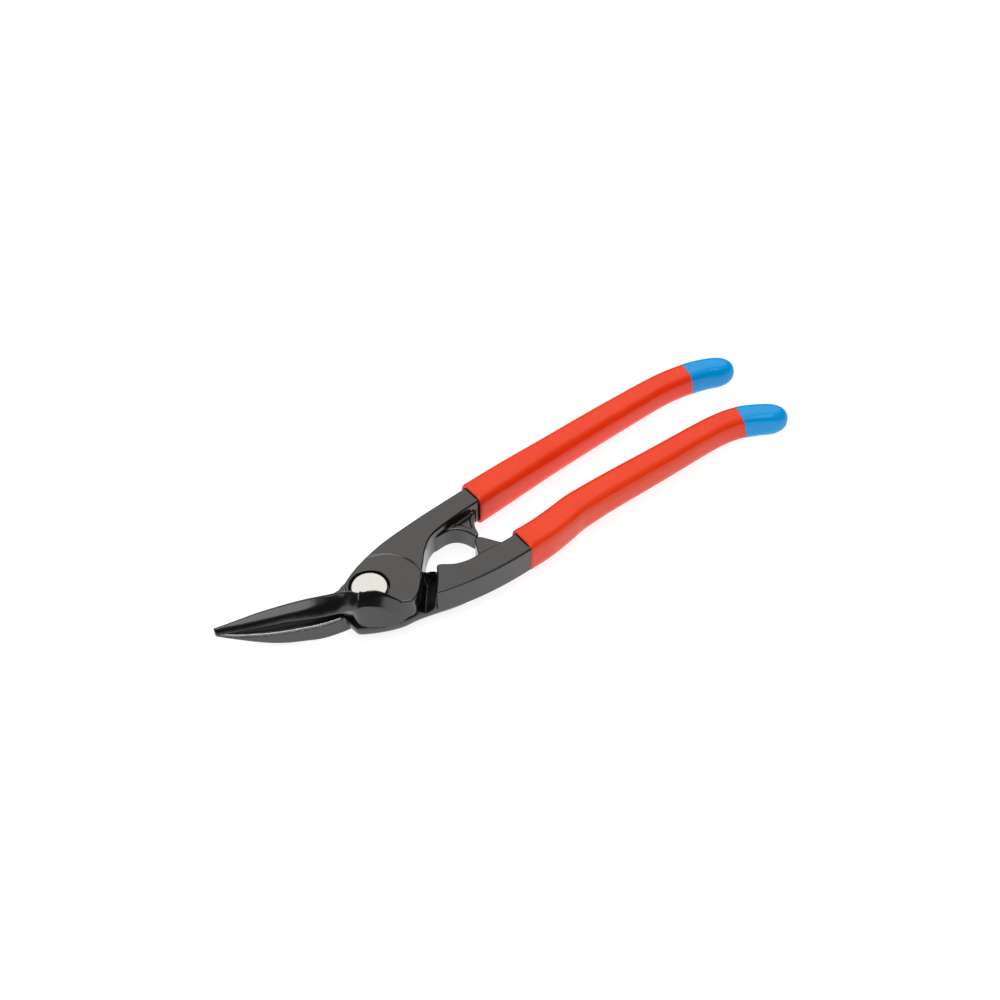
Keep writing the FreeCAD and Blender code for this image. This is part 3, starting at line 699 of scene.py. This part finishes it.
def handle(prefix, line, x0, xs, base, shear, body, sleeve_node, tip_node):
    tr = Track(line)
    d0, ds = tr.at_x(x0), tr.at_x(xs)

    def size(d):
        t = min(max((d - d0) / (ds - d0), 0.0), 1.0) ** 1.3
        return 12.6 - 2.0 * t, 15.4 - 2.8 * t
    w0, h0 = size(d0)
    rings = []
    # bore, rolled lip, outside
    for off, back_ in ((1.66, 2.4), (1.62, 1.2), (1.50, 0.62), (1.22, 0.26), (0.85, 0.06), (0.50, 0.02), (0.24, 0.18), (0.07, 0.48), (0.0, 0.9)):
        k = off / 1.66
        rings.append(ring_at(tr, d0 + back_, w0 - 2 * off, h0 - 2 * off * (1 - 0.32 * k), 4.6 + 0.8 * k))
    d = d0 + 1.6
    while d < ds - 0.6:
        w, h = size(d)
        wob = 0.05 * math.sin(d * 0.21 + 1.0) + 0.03 * math.sin(d * 0.53)
        f = sstep(ds - 16.0, ds, d)
        sq = 4.6 - 1.3 * float(sstep(d0 + 2.0, d0 + 45.0, d))
        rings.append(ring_at(tr, d, w + wob, h - wob, sq, shear * float(f), base * float(f)))
        d += 1.3
    w, h = size(ds)
    rings.append(ring_at(tr, ds, w, h, 3.3, shear, base))
    rings.append(ring_at(tr, ds + 0.5, w - 0.02, h - 0.02, 3.3, shear, base))
    rings.append(ring_at(tr, ds + 1.0, w - 0.6, h - 0.6, 3.3, shear, base))
    rings.append(ring_at(tr, ds + 1.0, w - 3.2, h - 2.2, 4.0, shear, base))
    sl = rings_mesh(prefix + "_sleeve", rings, False, False)
    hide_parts(sleeve_node)
    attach(sl, body)
    # end cap dipped over the sleeve: a thin edge, then the domed end
    rings = []
    e = 0.09
    L = tr.L
    for off, back_ in ((0.75, 0.30), (0.10, 0.16), (-0.02, 0.14), (-0.07, 0.22), (-e, 0.42)):
        rings.append(ring_at(tr, ds + back_, w - 2 * off, h - 2 * off, 3.3, shear, base))
    D = 9.0
    d = ds + 1.2
    while d < L - D:
        f = 1.0 - float(sstep(ds, L - D + 1.0, d))
        w, h = size(d)
        rings.append(ring_at(tr, d, w + 2 * e, h + 2 * e, 3.3 - 0.5 * (1 - f), shear * f, base * f))
        d += 0.9
    m = 22
    for i in range(m + 1):
        u = math.sin(0.5 * math.pi * i / m)
        k = max(1.0 - u ** 2.5, 0.0) ** (1 / 2.5)
        if i == m:
            k = 0.03
        w, h = size(L)
        rings.append(ring_at(tr, L - D + D * u, (w + 2 * e * (1 - u)) * k, (h + 2 * e * (1 - u)) * k, 2.8 - 0.7 * u))
    tp = rings_mesh(prefix + "_tip", rings, True, True)
    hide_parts(tip_node)
    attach(tp, body)
    return sl, tp


sleeve_u, tip_u = handle("upper_dip", LINE_U, 54.8, 166.0, 1.0, 1.8, "upper_half", "upper_handle_sleeve", "upper_sleeve_tip")
sleeve_l, tip_l = handle("lower_dip", LINE_L, 60.0, 170.5, 0.8, 3.2, "lower_half", "lower_handle_sleeve", "lower_sleeve_tip")


# ------------------------------------------------------------------ bolt, washer, nut
def lathe(name, prof, n=128, radius=None, closed=False):
    rings = []
    for r, z in prof:
        ring = []
        for k in range(n):
            th = 2 * math.pi * k / n
            rr = radius(r, z, th) if radius else r
            ring.append((rr * math.cos(th), rr * math.sin(th), z))
        rings.append(np.array(ring))
    if closed:
        rings.append(rings[0])
    return rings_mesh(name, rings, not closed, not closed)


def bolt_radius(r, z, th):
    if -3.9 - 1e-6 <= z <= -0.2 and r > 4.4:
        return min(r, 3.9 / max(abs(math.sin(th)), 1e-6))
    if -8.3 < z < -4.0 and 3.5 < r < 4.4:
        ph = (z / 0.8 - th / (2 * math.pi)) % 1.0
        return r - 0.42 * abs(2 * ph - 1)
    return r


prof = [(0.2, 9.36), (1.5, 9.365), (3.5, 9.38), (5.4, 9.39), (6.1, 9.40), (6.42, 9.375), (6.62, 9.29), (6.76, 9.14), (6.83, 8.95), (6.85, 8.7),
        (6.85, 6.5), (6.80, 6.3), (6.68, 6.16), (6.5, 6.11), (4.8, 6.10), (4.62, 6.02), (4.52, 5.9), (4.5, 5.7), (4.5, 0.0), (4.5, -0.19),
        (4.5, -0.21), (4.5, -2.0), (4.5, -3.88), (4.3, -3.92), (3.95, -3.96), (3.9, -4.02)]
zz_ = -4.1
while zz_ > -8.2:
    prof.append((3.9, round(zz_, 3)))
    zz_ -= 0.1
prof += [(3.6, -8.32), (3.3, -8.46), (3.1, -8.5), (1.5, -8.5), (0.2, -8.5)]
bolt = lathe("bolt_turned", prof[::-1], radius=bolt_radius)
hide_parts("pivot_bolt")
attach(bolt, "lower_half")

WZ = -4.22
wpts = [(4.22, WZ - 0.40), (4.3, WZ - 0.35), (5.3, WZ - 0.185), (6.3, WZ - 0.015), (6.38, WZ - 0.03), (6.4, WZ - 0.10), (6.4, WZ - 0.46),
        (6.36, WZ - 0.53), (6.28, WZ - 0.56), (5.3, WZ - 0.73), (4.3, WZ - 0.895), (4.2, WZ - 0.87), (4.15, WZ - 0.80), (4.15, WZ - 0.45)]
washer = lathe("washer_cone", wpts[::-1], closed=True)
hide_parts("spring_washer")
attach(washer, "lower_half")

NZ1 = WZ - 0.35 - 0.55 - 0.01
NZ0 = NZ1 - 3.4


def nut_field(x, y, z):
    r = np.hypot(x, y)
    f = rmax(r - 6.5, np.maximum(z - NZ1, NZ0 - z), 0.3)
    ch = (r - 6.5 + NZ0 - z + 0.55) * math.sqrt(0.5)
    f = rmax(f, ch, 0.1)
    th = np.arctan2(y, x)
    ph = np.mod(z / 0.8 - th / (2 * math.pi), 1.0)
    bore = (3.98 - 0.40 * np.abs(2 * ph - 1)) - r
    cone = (4.55 - r - (z - NZ0)) * math.sqrt(0.5)
    f = np.maximum(f, np.maximum(bore, cone))
    for a, b in ((x, y), (y, x)):
        slot_ = rmax(np.maximum(np.abs(b) - 0.9, z - NZ0 - 1.5), 4.6 - r, 0.1)
        f = rmax(f, -slot_, 0.12)
    return f


nut = build("nut_slotted", nut_field, (-7.0, -7.0, NZ0 - 0.5), (7.0, 7.0, NZ1 + 0.5), 0.13)
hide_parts("pivot_nut")
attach(nut, "lower_half")



def plated():
    m, nt, bs = nodes_of("nickel_plate")
    co = coords(nt)
    bs.inputs["Metallic"].default_value = 1.0
    n1 = noise(nt, co, 900.0, 2.0, 0.5)
    nt.links.new(ramp(nt, n1, [(0.3, (0.60, 0.605, 0.56)), (0.7, (0.66, 0.665, 0.615))]), bs.inputs["Base Color"])
    nt.links.new(ramp(nt, n1, [(0.3, (0.24, 0.24, 0.24)), (0.7, (0.32, 0.32, 0.32))]), bs.inputs["Roughness"])
    nt.links.new(bump(nt, noise(nt, co, 3000.0, 2.0), 0.05, 0.0001), bs.inputs["Normal"])
    return m


def plain_steel():
    m, nt, bs = nodes_of("plain_steel")
    co = coords(nt)
    bs.inputs["Metallic"].default_value = 1.0
    n1 = noise(nt, co, 700.0, 3.0, 0.5)
    nt.links.new(ramp(nt, n1, [(0.3, (0.36, 0.36, 0.37)), (0.7, (0.46, 0.46, 0.47))]), bs.inputs["Base Color"])
    nt.links.new(ramp(nt, n1, [(0.3, (0.32, 0.32, 0.32)), (0.7, (0.42, 0.42, 0.42))]), bs.inputs["Roughness"])
    return m


def vinyl(name, dark, light):
    m, nt, bs = nodes_of(name)
    co = coords(nt)
    big = noise(nt, co, 55.0, 3.0, 0.5)
    fine = noise(nt, co, 1100.0, 2.0, 0.5)
    nt.links.new(ramp(nt, big, [(0.25, dark), (0.75, light)]), bs.inputs["Base Color"])
    nt.links.new(ramp(nt, noise(nt, co, 240.0, 3.0), [(0.3, (0.13, 0.13, 0.13)), (0.7, (0.19, 0.19, 0.19))]), bs.inputs["Roughness"])
    b1 = bump(nt, fine, 0.05, 0.0001)
    nt.links.new(bump(nt, big, 0.10, 0.0006, b1), bs.inputs["Normal"])
    bs.inputs["IOR"].default_value = 1.37
    bs.inputs["Subsurface Weight"].default_value = 0.06
    bs.inputs["Subsurface Radius"].default_value = (0.002, 0.0006, 0.0004)
    bs.inputs["Subsurface Scale"].default_value = 0.5
    return m


nickel = plated()
greysteel = plain_steel()
red = vinyl("red_vinyl", (0.94, 0.046, 0.006), (1.0, 0.062, 0.012))
blue = vinyl("blue_vinyl", (0.0, 0.35, 0.84), (0.001, 0.40, 0.90))
for o, mt in ((bolt, nickel), (nut, greysteel), (washer, greysteel), (sleeve_u, red), (sleeve_l, red), (tip_u, blue), (tip_l, blue)):
    o.data.materials.clear()
    o.data.materials.append(mt)

# ------------------------------------------------------------------ floor and studio light
fm, fnt, fbs = nodes_of("floor_paper")
fbs.inputs["Base Color"].default_value = (0.3, 0.3, 0.3, 1)
fbs.inputs["Roughness"].default_value = 0.9
fbs.inputs["Specular IOR Level"].default_value = 0.0
fbs.inputs["Emission Color"].default_value = (1, 1, 1, 1)
fbs.inputs["Emission Strength"].default_value = 0.86
bpy.ops.mesh.primitive_plane_add(size=6.0, location=(0, 0, CAD_BOX[0][2] - 0.0002))
floor = bpy.context.object
floor.name = "floor"
floor.data.materials.append(fm)

w = bpy.data.worlds.new("studio")
scene.world = w
w.use_nodes = True
wt = w.node_tree
wc = wt.nodes.new("ShaderNodeTexCoord")
ws = wt.nodes.new("ShaderNodeSeparateXYZ")
wt.links.new(wc.outputs["Generated"], ws.inputs[0])
wt.links.new(ramp(wt, ws.outputs["Z"], [(0.0, (0.01, 0.01, 0.01)), (0.50, (0.02, 0.02, 0.02)), (0.70, (0.28, 0.27, 0.265)), (0.85, (0.40, 0.385, 0.375))]),
             wt.nodes["Background"].inputs[0])
wt.nodes["Background"].inputs[1].default_value = 1.0


def area(name, loc, target, size, radiance, sizey, color=(1.0, 0.955, 0.925)):
    """Rectangular softbox of the given radiance."""
    d = bpy.data.lights.new(name, "AREA")
    d.shape = "RECTANGLE"
    d.size = size
    d.size_y = sizey
    d.energy = radiance * math.pi * size * sizey
    d.color = color
    o = bpy.data.objects.new(name, d)
    scene.collection.objects.link(o)
    o.location = loc
    o.rotation_euler = (Vector(loc) - Vector(target)).to_track_quat("Z", "Y").to_euler()
    return o


area("back_softbox", (0.43, 0.74, 0.98), (0, 0, 0), 2.2, 1.0, 1.3)
area("left_back_softbox", (-0.89, 0.52, 0.61), (0, 0, 0), 0.42, 1.5, 0.42, (1.0, 1.0, 1.0))
area("front_softbox", (-0.23, -0.42, 1.18), (0, 0, 0), 1.4, 2.0, 0.80, (1.0, 1.0, 1.0))
area("top_strobe", (0.0, 0.02, 1.25), (0, 0, 0), 0.34, 6.0, 0.16, (1.0, 1.0, 1.0))

scene.view_settings.view_transform = "Standard"
scene.view_settings.look = "None"
